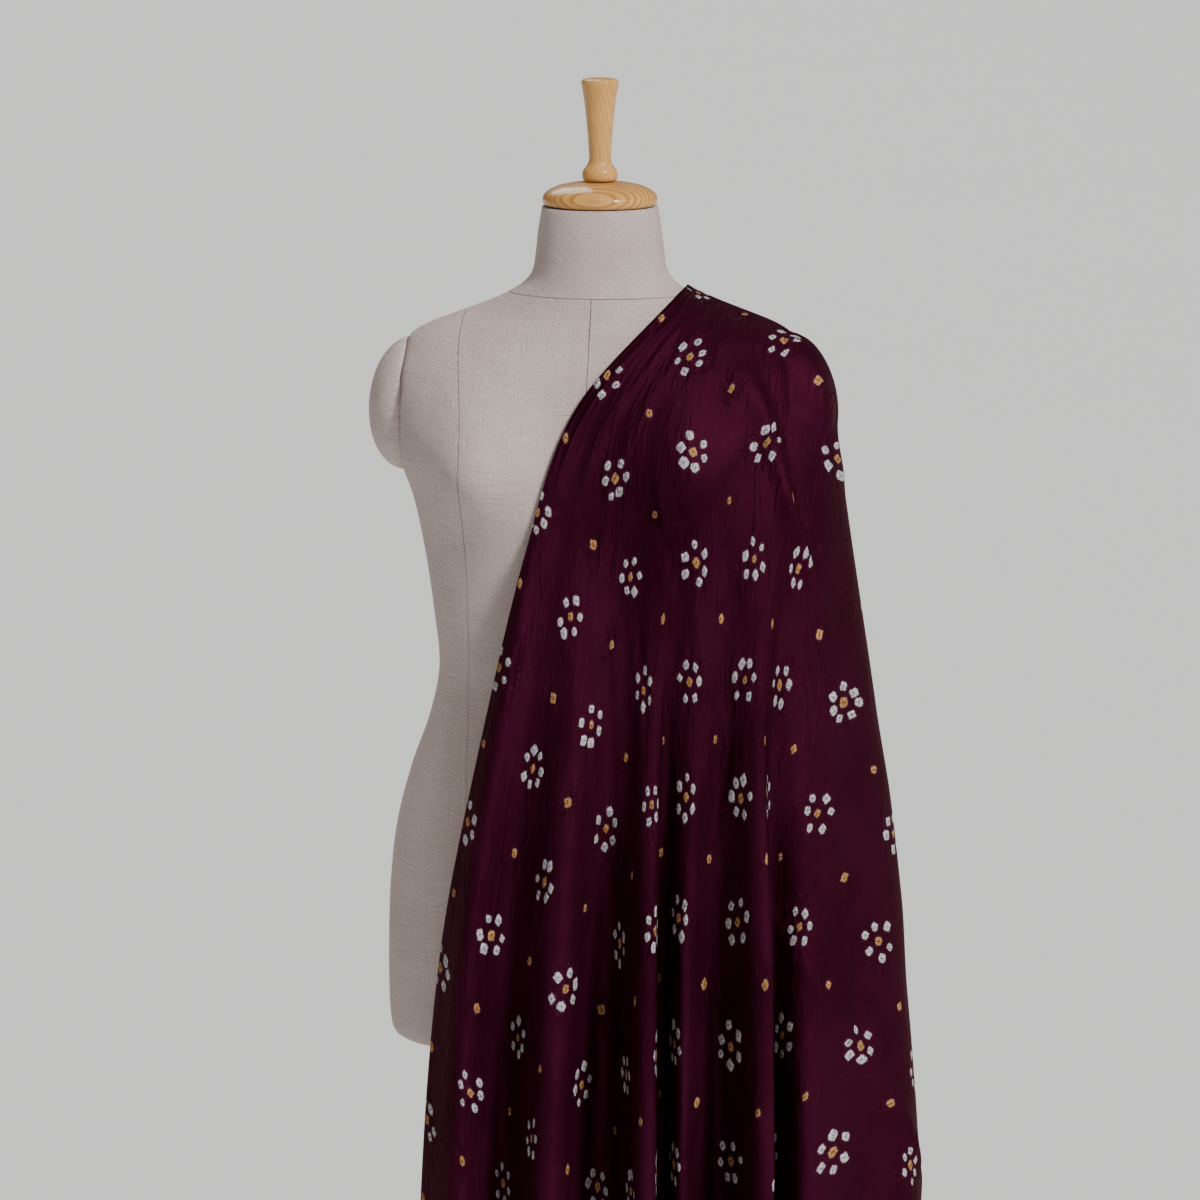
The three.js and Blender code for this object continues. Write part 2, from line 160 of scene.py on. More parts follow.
class Signal:
    """The output socket of a node, on which Python's operators add Math nodes."""

    def __init__(self, tree: "Finish", socket: bpy.types.NodeSocket) -> None:
        """Wraps a socket of a material's node tree."""
        self.tree, self.socket = tree, socket

    def __add__(self, other: "Value") -> "Signal":
        """self + other"""
        return self.tree.maths("ADD", self, other)

    def __sub__(self, other: "Value") -> "Signal":
        """self - other"""
        return self.tree.maths("SUBTRACT", self, other)

    def __rsub__(self, other: "Value") -> "Signal":
        """other - self"""
        return self.tree.maths("SUBTRACT", other, self)

    def __mul__(self, other: "Value") -> "Signal":
        """self * other"""
        return self.tree.maths("MULTIPLY", self, other)

    def __truediv__(self, other: "Value") -> "Signal":
        """self / other"""
        return self.tree.maths("DIVIDE", self, other)

    def __rtruediv__(self, other: "Value") -> "Signal":
        """other / self"""
        return self.tree.maths("DIVIDE", other, self)

    def __pow__(self, other: "Value") -> "Signal":
        """self ** other"""
        return self.tree.maths("POWER", self, other)

    def __abs__(self) -> "Signal":
        """The distance from 0."""
        return self.tree.maths("ABSOLUTE", self)

    __radd__ = __add__
    __rmul__ = __mul__


Value = Union[Signal, float]


class Finish:
    """A material whose node tree is written as Python expressions."""

    def __init__(self, name: str) -> None:
        """Makes an empty material of that name."""
        self.material = bpy.data.materials.new(name)
        self.material.use_nodes = True
        self.nodes = self.material.node_tree.nodes
        self.links = self.material.node_tree.links
        self.nodes.clear()

    def node(self, kind: str, settings: dict | None = None, **sockets: object) -> bpy.types.Node:
        """A node of the tree.

        Args:
            kind: the node's type, without the word ShaderNode in front.
            settings: the node's own settings, which are set first.
            sockets: values or links of its inputs, by name with _ for a space, or i0, i1 by number.

        Returns:
            The new node.
        """
        made = self.nodes.new("ShaderNode" + kind)
        for key, setting in (settings or {}).items():
            setattr(made, key, setting)
        for key, value in sockets.items():
            numbered = key[0] == "i" and key[1:].isdigit()
            socket = made.inputs[int(key[1:]) if numbered else key.replace("_", " ")]
            if isinstance(value, Signal):
                self.links.new(value.socket, socket)
            else:
                socket.default_value = value
        return made

    def maths(self, operation: str, *values: Value) -> Signal:
        """The result of a Math node on one, two or three values."""
        inputs = {f"i{i}": value for i, value in enumerate(values)}
        return Signal(self, self.node("Math", {"operation": operation}, **inputs).outputs[0])

    def vector_maths(self, operation: str, *values: object, output: int = 0) -> Signal:
        """The result of a Vector Math node."""
        inputs = {f"i{i}": value for i, value in enumerate(values)}
        made = self.node("VectorMath", {"operation": operation}, **inputs)
        return Signal(self, made.outputs[output])

    def step(self, value: Value, low: float, high: float, to: tuple = (0.0, 1.0)) -> Signal:
        """A smooth step of a value from low to high, mapped to the range to."""
        settings = {"interpolation_type": "SMOOTHSTEP"}
        made = self.node("MapRange", settings, i0=value, i1=low, i2=high, i3=to[0], i4=to[1])
        return Signal(self, made.outputs[0])

    def colours(self, share: Value, a: object, b: object) -> Signal:
        """A mix of two colours by a share, each a socket or a red, green and blue."""
        whole = [c if isinstance(c, Signal) else (*c, 1.0) for c in (a, b)]
        settings = {"data_type": "RGBA", "clamp_factor": True}
        made = self.node("Mix", settings, i0=share, i6=whole[0], i7=whole[1])
        return Signal(self, made.outputs[2])

    def vector(self, x: Value, y: Value, z: Value = 0.0) -> Signal:
        """A vector from its three parts."""
        return Signal(self, self.node("CombineXYZ", None, X=x, Y=y, Z=z).outputs[0])

    def parts(self, vector: Signal) -> tuple[Signal, Signal, Signal]:
        """The three parts of a vector."""
        made = self.node("SeparateXYZ", None, Vector=vector)
        return tuple(Signal(self, made.outputs[k]) for k in range(3))

    def noise(self, where: Signal, scale: float, detail: float = 2.0, rough: float = 0.5) -> Signal:
        """A noise texture's value, from about 0 to 1."""
        made = self.node(
            "TexNoise", None, Vector=where, Scale=scale, Detail=detail, Roughness=rough
        )
        return Signal(self, made.outputs[0])

    def noise_vector(self, where: Signal, scale: float, detail: float = 2.0) -> Signal:
        """A noise texture's three values, as a vector."""
        made = self.node("TexNoise", None, Vector=where, Scale=scale, Detail=detail)
        return Signal(self, made.outputs[1])

    def random(self, where: Signal) -> tuple[Signal, Signal, Signal]:
        """Three random numbers from 0 to 1, the same wherever the vector is the same."""
        made = self.node("TexWhiteNoise", {"noise_dimensions": "3D"}, Vector=where)
        return self.parts(Signal(self, made.outputs["Color"]))

    def place(self) -> Signal:
        """The place on the piece, in metres."""
        return Signal(self, self.node("TexCoord").outputs["Object"])

    def map_place(self, name: str) -> Signal:
        """The place in a named map of the mesh."""
        return Signal(self, self.node("UVMap", {"uv_map": name}).outputs[0])

    def bump(self, height: Signal, depth: float, under: Signal | None = None) -> Signal:
        """A normal bent by a height, in metres of depth for each unit of height."""
        inputs = {"Height": height, "Strength": 1.0, "Distance": depth}
        if under is not None:
            inputs["Normal"] = under
        return Signal(self, self.node("Bump", None, **inputs).outputs[0])

    def surface(self, **sockets: object) -> bpy.types.Material:
        """Ends the tree in a Principled shader with these sockets, and gives the material."""
        shader = self.node("BsdfPrincipled", None, **sockets)
        output = self.nodes.new("ShaderNodeOutputMaterial")
        self.links.new(shader.outputs[0], output.inputs[0])
        return self.material


# Finishes


@dataclass(frozen=True)
class DyedCloth:
    """Tie-dyed cotton silk: white flowers and yellow dots, left undyed where they were tied."""

    pitch: float = 68 * MM
    ring: float = 14.4 * MM
    white_half: float = 3.9 * MM
    yellow_half: float = 3.7 * MM
    grid_drift: float = 12 * MM
    tie_slip: float = 6 * MM
    fray_depth: float = 3.4 * MM
    share_of_sixes: float = 0.9
    warp_pitch: float = 0.75 * MM
    weft_pitch: float = 0.8 * MM
    wine: Colour = (0.038, 0.0034, 0.0135)
    wine_light: Colour = (0.053, 0.0056, 0.02)
    wine_dark: Colour = (0.024, 0.0019, 0.0083)
    halo: Colour = (0.075, 0.0105, 0.03)
    white: Colour = (0.62, 0.6, 0.61)
    # The darker white of the undyed dots: painted shade in their crinkles, and partly a random grey
    # tone.
    white_grey_and_shade: Colour = (0.25, 0.19, 0.22)
    yellow: Colour = (0.6, 0.3, 0.1)
    # The darker yellow of the yellow dots: painted shade in their crinkles.
    yellow_crinkle_shade: Colour = (0.33, 0.11, 0.025)
    knot: Colour = (0.045, 0.008, 0.014)
    satin: float = 0.45
    edge: tuple[float, float, float, float] = (0.45, 0.1, 0.22, 1.0)
    flat_map: str = "flat_cloth"
    fall_map: str = "along_falls"

    @staticmethod
    def dot(
        f: Finish, p: Value, q: Value, half: Value, turn: Value, shape: Value, fray: Value
    ) -> tuple[Signal, Signal, Signal]:
        """A tied dot, between a diamond and a rounded square.

        Args:
            f: the finish that is made.
            p: distance from the dot's middle along one thread, in metres.
            q: distance along the other thread.
            half: half the dot's width.
            turn: how far it is turned, in radians.
            shape: 1 for a diamond, 2 for a circle, and more for a square.
            fray: an uneven amount that is added to its edge.

        Returns:
            The masks of the dot and of the pinched mark in its middle, and the distance from there.
        """
        cos, sin = f.maths("COSINE", turn), f.maths("SINE", turn)
        a, b = p * cos + q * sin, q * cos - p * sin
        square = (abs(a) ** shape + abs(b) ** shape) ** (1 / shape)
        mask = f.step((square + fray) / half, 0.86, 1.1, (1.0, 0.0))
        bent = a + fray * 1.2
        mark = f.maths("SQRT", bent * bent * 4.5 + b * b * 0.35)
        return mask, f.step(mark, 0.0006, 0.0015, (1.0, 0.0)), f.maths("SQRT", p * p + q * q)

    def ties(self, f: Finish, flat: Signal) -> dict[str, Signal]:
        """The tied dots: flowers and single dots by turns, on an even grid.

        Args:
            f: the finish that is made.
            flat: the place in the flat cloth.

        Returns:
            The masks of all dots, of the yellow ones and of their pinched marks, and the
            distance, the way and a random number of the nearest tie.
        """
        drift = f.vector_maths("SUBTRACT", f.noise_vector(flat, 9.0, 1.0), (0.5, 0.5, 0.5))
        drift = f.vector_maths("MULTIPLY", drift, (self.grid_drift, self.grid_drift, 0.0))
        w, l, _ = f.parts(f.vector_maths("ADD", flat, drift))
        column, row = f.maths("ROUND", w / self.pitch), f.maths("ROUND", l / self.pitch)
        single = f.maths("FLOORED_MODULO", column + row, 2.0)
        r1, r2, r3 = f.random(f.vector(column, row, 0.0))
        r4, r5, r6 = f.random(f.vector(column, row, 5.0))
        x = w - column * self.pitch + (r1 - 0.5) * self.tie_slip
        y = l - row * self.pitch + (r2 - 0.5) * self.tie_slip
        fray = (f.noise(flat, 480.0, 3.0, 0.6) - 0.5) * self.fray_depth

        petals = 6.0 + f.maths("GREATER_THAN", r4, self.share_of_sixes)
        step = 2 * math.pi / petals
        way = f.maths("ARCTAN2", y, x)
        angle = way + r3 * (math.pi / 3)
        away = f.maths("SQRT", x * x + y * y)
        number = f.maths("ROUND", angle / step)
        petal = f.maths("FLOORED_MODULO", number, petals)
        s1, s2, s3 = f.random(f.vector(column, row, 9.0 + petal))
        s4, s5, s6 = f.random(f.vector(column, row, 29.0 + petal))
        off = angle - number * step + (s2 - 0.5) * 0.36
        p = away * f.maths("COSINE", off) - self.ring * (0.87 + s1 * 0.26)
        q = away * f.maths("SINE", off) * (0.86 + s4 * 0.34)
        half = self.white_half * (0.82 + s3 * 0.32)
        petal_dot, petal_mark, petal_far = self.dot(
            f, p, q, half, s5 * 1.5 - 0.75, 1.8 + s6 * 3.2, fray
        )
        petal_dot = petal_dot * (1 - single)
        half = self.yellow_half * (0.84 + r5 * 0.3)
        yellow, yellow_mark, yellow_far = self.dot(
            f, x * (0.88 + r1 * 0.3), y, half, r4 * 1.4 - 0.7, 1.9 + r6 * 3.0, fray
        )
        return dict(
            dots=f.maths("MAXIMUM", petal_dot, yellow), yellow=yellow, way=way, away=away, pick=r3,
            marks=f.maths("MAXIMUM", petal_mark * petal_dot, yellow_mark * yellow),
            far=f.maths("MINIMUM", petal_far + single * 0.1, yellow_far),
        )

    def relief(self, f: Finish, flat: Signal, ties: dict[str, Signal], crinkle: Signal) -> Signal:
        """The normal of the cloth: its weave, its creases along the falls, and the ties' puckers.

        Args:
            f: the finish that is made.
            flat: the place in the flat cloth.
            ties: what ties() gives.
            crinkle: the crinkles of the undyed dots.

        Returns:
            The bent normal.
        """
        w, l, _ = f.parts(flat)
        warp = f.maths("SINE", w * (2 * math.pi / self.warp_pitch))
        weft = f.maths("SINE", l * (2 * math.pi / self.weft_pitch))
        weave = f.bump(warp * weft, 0.00004)
        aside, run, _ = f.parts(f.map_place(self.fall_map))
        near = f.step(ties["far"], 0.003, 0.032, (1.0, 0.0))
        fine = f.noise(f.vector(aside * 190.0, run * 42.0), 1.0, 3.0, 0.6)
        broad = f.noise(f.vector(aside * 62.0, run * 10.0, 3.0), 1.0, 2.0, 0.5)
        sharp = f.step(abs(broad - 0.5), 0.0, 0.07, (1.0, 0.0))
        spread = f.step(f.noise(f.vector(aside * 14.0, run * 8.0, 7.0), 1.0, 1.0), 0.42, 0.62)
        round_tie = f.vector(ties["way"] * 1.9, ties["away"] * 34.0, ties["pick"] * 40.0)
        spokes = f.noise(round_tie, 1.6, 2.0)
        spoke = f.step(abs(spokes - 0.5), 0.0, 0.09, (1.0, 0.0))
        pleats = f.maths("SINE", aside * 230.0 + f.noise(f.vector(aside, run), 9.0, 1.0) * 4.0)
        edge = f.step(aside, 0.06, 0.115, (1.0, 0.0)) * f.step(run, 0.2, 0.42, (1.0, 0.0))
        soft = f.bump(fine * 0.55 + broad * 0.5 + pleats * edge * 0.6, 0.0012, weave)
        pulled = near * f.step(ties["pick"], 0.2, 0.9, (0.1, 0.7))
        lines = f.bump(sharp * (spread * 0.6 + near * 0.5) + spoke * pulled, 0.001, soft)
        peak = f.step(ties["far"], 0.0, 0.0058, (1.0, 0.0))
        return f.bump(peak - crinkle * ties["dots"] * 0.4, 0.0015, lines)

    def make(self, name: str) -> bpy.types.Material:
        """Builds the material.

        Args:
            name: the material's name.

        Returns:
            The material, which reads the flat cloth's place from the piece's map.
        """
        f = Finish(name)
        flat = f.map_place(self.flat_map)
        ties = self.ties(f, flat)
        mottle = f.noise(flat, 7.0, 4.0, 0.6)
        streak = f.noise(f.vector_maths("MULTIPLY", flat, (260.0, 34.0, 1.0)), 1.0, 3.0, 0.6)
        dye = f.colours(f.step(mottle, 0.3, 0.72), self.wine_dark, self.wine_light)
        dye = f.colours(0.6, self.wine, dye)
        dye = f.colours(f.step(streak, 0.35, 0.75) * 0.3, dye, self.wine_light)
        dye = f.colours(f.step(ties["far"], 0.0042, 0.0072, (1.0, 0.0)) * 0.45, dye, self.halo)

        # Painted shade: the crinkle mask darkens the white and yellow dots as if their crinkles
        # were shaded; the grey noise only adds a random grey tone.
        crinkle = f.step(f.noise(flat, 460.0, 3.0, 0.75), 0.48, 0.64)
        grey = f.noise(flat, 150.0, 2.0)
        shade = crinkle * 0.7 + f.step(grey, 0.45, 0.7) * 0.25
        white = f.colours(shade, self.white, self.white_grey_and_shade)
        yellow = f.colours(crinkle * 0.8, self.yellow, self.yellow_crinkle_shade)
        undyed = f.colours(ties["yellow"], white, yellow)
        undyed = f.colours(ties["marks"] * 0.85, undyed, self.knot)
        colour = f.colours(ties["dots"], dye, undyed)
        speck = f.noise(flat, 950.0, 2.0, 0.7)
        colour = f.colours(f.step(speck, 0.62, 0.8) * 0.15, colour, self.wine_light)
        return f.surface(
            Base_Color=colour, Roughness=0.4 + mottle * 0.12 + ties["dots"] * 0.3,
            Metallic=(1 - ties["dots"]) * self.satin, Specular_IOR_Level=0.02,
            Specular_Tint=self.edge, Normal=self.relief(f, flat, ties, crinkle),
        )


@dataclass(frozen=True)
class Linen:
    """Unbleached slub linen, stretched over the form, with a neck piece cut on the bias."""

    thread: float = 1.15 * MM
    light: Colour = (0.66, 0.53, 0.495)
    dark: Colour = (0.38, 0.285, 0.25)
    bright: Colour = (0.85, 0.73, 0.69)
    fleck: Colour = (0.27, 0.21, 0.17)
    wrap_map: str = "wrap"
    neck_seam: float = 1.4155
    seam_half: float = 0.8 * MM
    bust_seam: float = 106 * MM
    bust_seam_out: float = 10 * MM
    bias_angle: float = 0.72

    def seams(self, f: Finish) -> Signal:
        """The seams: round the neck, down the middle, and over the bust on both sides."""
        x, _, z = f.parts(f.place())
        below = f.step(z, self.neck_seam, self.neck_seam - 0.0004)
        shaped = self.bust_seam + f.step(z, 1.29, 1.395) * self.bust_seam_out
        side = f.maths("MINIMUM", abs(x), abs(abs(x) - shaped))
        aside = f.maths("MINIMUM", side + (1 - below), abs(z - self.neck_seam))
        return f.step(aside, 0.0, self.seam_half, (1.0, 0.0)) * f.step(z, 0.9, 1.3, (0.35, 1.0))

    def make(self, name: str) -> bpy.types.Material:
        """Builds the material.

        Args:
            name: the material's name.

        Returns:
            The material, which reads the form's wrapped place from the piece's map.
        """
        f = Finish(name)
        u, v, _ = f.parts(f.map_place(self.wrap_map))
        lean = f.maths("GREATER_THAN", v, self.neck_seam) * self.bias_angle
        cos, sin = f.maths("COSINE", lean), f.maths("SINE", lean)
        across, down = u * cos - v * sin, u * sin + v * cos
        wander = f.noise(f.vector(across, down), 24.0, 2.0) * 0.0016
        turns = 2 * math.pi / self.thread
        warp = f.maths("SINE", (across + wander) * turns)
        weft = f.maths("SINE", (down + wander) * turns)
        slub_across = f.noise(f.vector(across * 26.0, down * 620.0), 1.0, 3.0, 0.6)
        slub_down = f.noise(f.vector(across * 640.0, down * 22.0, 4.0), 1.0, 3.0, 0.6)
        slub = f.step(slub_across, 0.5, 0.74) + f.step(slub_down, 0.52, 0.76)
        thin = f.step(slub_across, 0.5, 0.3) + f.step(slub_down, 0.48, 0.28)
        cloud = f.noise(f.vector(across, down), 13.0, 4.0, 0.6)
        flecks = f.step(f.noise(f.vector(across * 300.0, down * 700.0, 2.0), 1.0, 2.0), 0.72, 0.78)
        threads = (warp + weft) * 0.25 + 0.5
        yarn = f.noise(f.vector(across, down, 6.0), 640.0, 2.0, 0.6)
        seams = self.seams(f)
        colour = f.colours(f.step(cloud, 0.3, 0.75) * 0.25, self.light, self.dark)
        colour = f.colours((1 - threads) * 0.36 + thin * 0.15, colour, self.dark)
        colour = f.colours(f.step(yarn, 0.5, 0.3) * 0.4, colour, self.dark)
        colour = f.colours(slub * 0.2 + f.step(yarn, 0.5, 0.7) * 0.4, colour, self.bright)
        colour = f.colours(flecks * 0.5, colour, self.fleck)
        colour = f.colours(seams * 0.55, colour, self.fleck)
        weave = f.bump(threads + slub * 0.7 + yarn * 0.9 - thin * 0.3, 0.0004)
        padding = f.bump(f.noise(f.place(), 34.0, 3.0, 0.55), 0.0012, weave)
        return f.surface(
            Base_Color=colour, Roughness=0.86 + cloud * 0.1, Specular_IOR_Level=0.2,
            Normal=f.bump(1 - seams, 0.0007, padding),
        )


class Grain(Enum):
    """Which way the grain of a turned piece runs."""

    UPRIGHT = (1.0, 1.0, 0.05)
    ACROSS = (0.07, 1.0, 1.0)


@dataclass(frozen=True)
class TurnedWood:
    """Varnished pale hardwood with growth rings."""

    grain: Grain = Grain.UPRIGHT
    ring_pitch: float = 6.5 * MM
    depth: float = 0.6
    gloss: float = 0.3
    light: Colour = (0.72, 0.39, 0.115)
    dark: Colour = (0.42, 0.165, 0.035)
    pore: Colour = (0.2, 0.085, 0.03)
    heart: tuple[float, float, float] = (-0.02, -0.013, 0.0)

    def make(self, name: str) -> bpy.types.Material:
        """Builds the material.

        Args:
            name: the material's name.

        Returns:
            The material, whose growth rings lie about the tree's heart.
        """
        f = Finish(name)
        moved = f.vector_maths("SUBTRACT", f.place(), self.heart)
        drawn = f.vector_maths("MULTIPLY", moved, self.grain.value)
        bend = f.vector_maths("SUBTRACT", f.noise_vector(drawn, 28.0, 3.0), (0.5, 0.5, 0.5))
        bent = f.vector_maths("ADD", drawn, f.vector_maths("MULTIPLY", bend, (0.009, 0.009, 0.009)))
        rings = f.maths("FRACT", f.vector_maths("LENGTH", bent, output=1) / self.ring_pitch)
        late = f.step(rings, 0.3, 0.92) * f.step(rings, 0.92, 1.0, (1.0, 0.0))
        fibre = f.noise(drawn, 900.0, 3.0, 0.65)
        pores = f.step(f.noise(drawn, 1700.0, 2.0, 0.6), 0.6, 0.75)
        cloud = f.noise(moved, 20.0, 3.0)
        shade = late * self.depth + f.step(fibre, 0.35, 0.8) * 0.3
        colour = f.colours(shade, self.light, self.dark)
        colour = f.colours(f.step(cloud, 0.35, 0.75) * 0.2, colour, self.dark)
        colour = f.colours(pores * 0.3, colour, self.pore)
        bumped = f.bump(fibre * 0.6 + late * 0.4 - pores * 0.5, 0.0001)
        return f.surface(
            Base_Color=colour, Roughness=self.gloss + fibre * 0.16 + pores * 0.1, Normal=bumped,
            Specular_IOR_Level=0.12, Coat_Weight=0.35, Coat_Roughness=0.08,
        )


# The dress form


@dataclass(frozen=True)
class Bust:
    """Where the bust stands out of the front, how far it spreads and how far it rises."""

    x: float = 98.0
    z: float = 1266.0
    wide: float = 50.0
    below: float = 49.0
    above: float = 62.0
    rise: float = 36.0


@dataclass
class TorsoForm:
    """The linen-covered body of the form, in millimetres, with the sections of its solid."""

    armhole_x: float = 166.0
    armhole_from: float = 1130.0
    bust: Bust = Bust()
    steps: int = 132
    rows_high: float = 4.4
    corner: float = 9.0
    sections: tuple = (
        # height, half width, front depth, back depth, power of the superellipse
        (757, 174, 88, 108, 2.2), (761, 180, 95, 115, 2.2), (770, 184, 99, 119, 2.2),
        (800, 186, 102, 124, 2.2), (850, 186, 105, 128, 2.2), (900, 184, 105, 127, 2.2),
        (950, 178, 102, 120, 2.2), (1000, 165, 98, 108, 2.2), (1045, 149, 93, 96, 2.2),
        (1088, 140.5, 90, 88, 2.2), (1140, 145, 93, 88, 2.3), (1190, 152, 98, 93, 2.4),
        (1240, 162, 102, 98, 2.6), (1280, 176, 102, 101, 2.9), (1320, 180, 96, 100, 2.9),
        (1350, 177, 87, 95, 2.7), (1366, 170, 80, 90, 2.4), (1377.5, 165, 74, 85, 2.1),
        (1385, 154, 71, 81, 1.9), (1391, 140, 68, 78, 1.8), (1397.5, 123, 65, 74, 1.7),
        (1405, 103, 63, 71, 1.7), (1412.5, 85, 61, 68, 1.8), (1422.5, 68, 59, 65, 1.9),
        (1433, 59, 57, 62, 2), (1449, 55.7, 56, 59, 2), (1469, 53.5, 54, 56, 2),
        (1490, 50, 51, 52, 2),
    )

    def section(self, z: Array) -> tuple:
        """Half width, front depth, back depth and power at heights z."""
        rows = np.array(self.sections, float)
        return tuple(smooth_through(rows[:, 0], rows[:, k], z) for k in (1, 2, 3, 4))

    def bust_rise(self, x: Array, z: Array) -> Array:
        """How far the bust stands out at places on the front."""
        b = self.bust
        down = (z - b.z) / np.where(z < b.z, b.below, b.above)
        side = (np.abs(x) - b.x) / b.wide
        return b.rise * np.exp(-side * side - down * down)

    def depth(self, x: Array, z: Array, side: int) -> Array:
        """Depth of the form in front of (side -1) or behind (1) the axis, at x and z."""
        half, front, back, power = self.section(z)
        share = np.abs(x) / half
        oval = np.clip(1 - np.minimum(share, 1) ** power, 0, 1) ** (1 / power)
        oval = oval * (front if side < 0 else back)
        if side < 0:
            oval = oval + self.bust_rise(x, z) * (1 - np.minimum(share, 1) ** 6)
        return np.where(share >= 1, 0.0, oval)

    def surface(self, z: Array, turn: Array) -> Array:
        """Points of the form's surface at heights z and turns about the axis."""
        half, front, back, power = self.section(z)
        cos, sin = np.cos(turn), np.sin(turn)
        x = half * np.sign(cos) * np.abs(cos) ** (2 / power)
        y = np.where(sin < 0, front, back) * np.sign(sin) * np.abs(sin) ** (2 / power)
        share = np.minimum(np.abs(x) / half, 1)
        y = y - np.where(sin < 0, self.bust_rise(x, z) * (1 - share ** 6), 0)
        wall = np.where(z > self.armhole_from, self.armhole_x, half)
        return np.stack([np.clip(x, -wall, wall), y, z], -1)

    def build(self) -> bpy.types.Object:
        """Builds the body as one closed mesh.

        Returns:
            The piece, with a map of the cloth wrapped around it.
        """
        low, top = self.sections[0][0], self.sections[-1][0]
        count = int((top - low) / self.rows_high)
        heights = np.linspace(low, top, count)
        heights = np.unique(np.concatenate([heights, [row[0] for row in self.sections]]))
        turns = 2 * np.pi * np.arange(self.steps) / self.steps
        z, turn = np.meshgrid(heights, turns, indexing="ij")
        points = self.surface(z, turn).reshape(-1, 3)
        points = np.vstack([points, [[0, 0, low], [0, 0, top]]])
        piece = new_mesh("torso_linen", points, closed_faces(len(heights), self.steps))
        add_map(piece, Linen.wrap_map, np.stack([self.girth(points), points[:, 2]], -1))
        return piece

    def girth(self, points: Array) -> Array:
        """How far round the form each point lies from the middle of its front."""
        rings = points[:-2].reshape(-1, self.steps, 3)
        front = 3 * self.steps // 4
        turned = np.roll(rings, -front, axis=1)
        steps = np.linalg.norm(np.roll(turned, -1, axis=1) - turned, axis=2)
        far = np.cumsum(steps, axis=1) - steps
        whole = steps.sum(axis=1, keepdims=True)
        signed = np.where(np.arange(self.steps) <= self.steps // 2, far, far - whole)
        return np.concatenate([np.roll(signed, front, axis=1).ravel(), [0.0, 0.0]])


@dataclass
class ArmPad:
    """The linen pad that closes an armhole, as a low dome."""

    side: int
    form: TorsoForm
    half_high: float = 58.0
    half_deep: float = 50.0
    reach: float = 35.5
    tip_drop: float = 5.0
    z: float = 1316.5
    gap: float = 0.3
    steps: int = 72
    arcs: int = 26
    first_arc: float = 0.04
    dome_power: float = 0.95
    back_rim: tuple = ((0.9, 0.0), (0.975, 0.012))

    def build(self) -> bpy.types.Object:
        """Builds the pad as one closed mesh."""
        rise = np.linspace(self.first_arc, 1, self.arcs)[:-1] * np.pi / 2
        dome = np.stack([np.cos(rise) ** self.dome_power, np.sin(rise)], -1)
        radius, out = np.vstack([self.back_rim, dome]).T
        turn = 2 * np.pi * np.arange(self.steps) / self.steps
        r, a = np.meshgrid(radius, turn, indexing="ij")
        o = np.repeat(out, self.steps)
        x = self.side * (self.form.armhole_x + self.gap + o * self.reach)
        y, z = (r * np.cos(a)).ravel() * self.half_deep, (r * np.sin(a)).ravel() * self.half_high
        z = z - self.tip_drop * o
        ring = np.stack([x, y, z + self.z], -1)
        inner = self.side * (self.form.armhole_x + self.gap)
        outer = inner + self.side * self.reach
        points = np.vstack([ring, [[inner, 0, self.z], [outer, 0, self.z - self.tip_drop]]])
        faces = closed_faces(len(radius), self.steps)
        if self.side < 0:
            faces = [face[::-1] for face in faces]
        piece = new_mesh(f"arm_pad_{'left' if self.side > 0 else 'right'}", points, faces)
        add_map(piece, Linen.wrap_map, points[:, 1:])
        return piece


@dataclass
class TurnedPiece:
    """A piece turned on a lathe, from a profile of radius and height."""

    name: str
    node: str
    profile: tuple
    finish: TurnedWood
    steps: int = 96
    between: int = 5
    roundings: int = 3

    def build(self) -> bpy.types.Object:
        """Builds the piece where its solid stands."""
        low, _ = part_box(self.node)
        rows = np.array(self.profile, float)
        run = np.arange(len(rows))
        fine = np.linspace(0, len(rows) - 1, (len(rows) - 1) * self.between + 1)
        radius = np.interp(fine, run, rows[:, 0])
        height = np.interp(fine, run, rows[:, 1])
        for values in (radius, height):
            for _ in range(self.roundings):
                middle = (values[:-2] + values[1:-1] * 2 + values[2:]) / 4
                values[3:-3] = middle[2:-2]
        turn = 2 * np.pi * np.arange(self.steps) / self.steps
        r, a = np.meshgrid(radius[1:-1], turn, indexing="ij")
        z = np.repeat(height[1:-1], self.steps) + low.z / MM
        ring = np.stack([(r * np.cos(a)).ravel(), (r * np.sin(a)).ravel(), z], -1)
        ends = [[0, 0, height[0] + low.z / MM], [0, 0, height[-1] + low.z / MM]]
        faces = closed_faces(len(radius) - 2, self.steps)
        return new_mesh(self.name, np.vstack([ring, ends]), faces)


# The cloth


@dataclass(frozen=True)
class Crease:
    """A soft trough or ridge, between two places of the flat cloth, in millimetres."""

    start: tuple[float, float]
    end: tuple[float, float]
    wide: float
    rise: float
    lopsided: float = 0.0


@dataclass(frozen=True)
class Wrinkles:
    """Small seeded creases that run roughly down the falls, in millimetres and degrees."""

    count: int = 150
    leans: tuple[float, float] = (20, 58)
    places: tuple[float, float] = (180, 1100)
    lengths: tuple[float, float] = (50, 190)
    wander: float = 0.25
    behind: float = 0.4
    widths: tuple[float, float] = (3.5, 8)
    rises: tuple[float, float] = (0.5, 1.5)
    most_lopsided: float = 0.6

    def make(self) -> list[Crease]:
        """The wrinkles, some of them behind the shoulder."""
        random = np.random.default_rng(SEED)
        made = []
        for _ in range(self.count):
            lean = math.radians(random.uniform(*self.leans))
            far, long = random.uniform(*self.places), random.uniform(*self.lengths)
            begin = np.array([math.sin(lean), math.cos(lean)]) * far
            turned = lean + random.normal(0, self.wander)
            end = begin + np.array([math.sin(turned), math.cos(turned)]) * long
            if random.random() < self.behind:
                begin, end = begin * [1, -1], end * [1, -1]
            wide = random.uniform(*self.widths)
            rise = random.uniform(*self.rises) * random.choice([-1, 1])
            lopsided = random.uniform(-self.most_lopsided, self.most_lopsided)
            made.append(Crease(tuple(begin), tuple(end), wide, rise, lopsided))
        return made


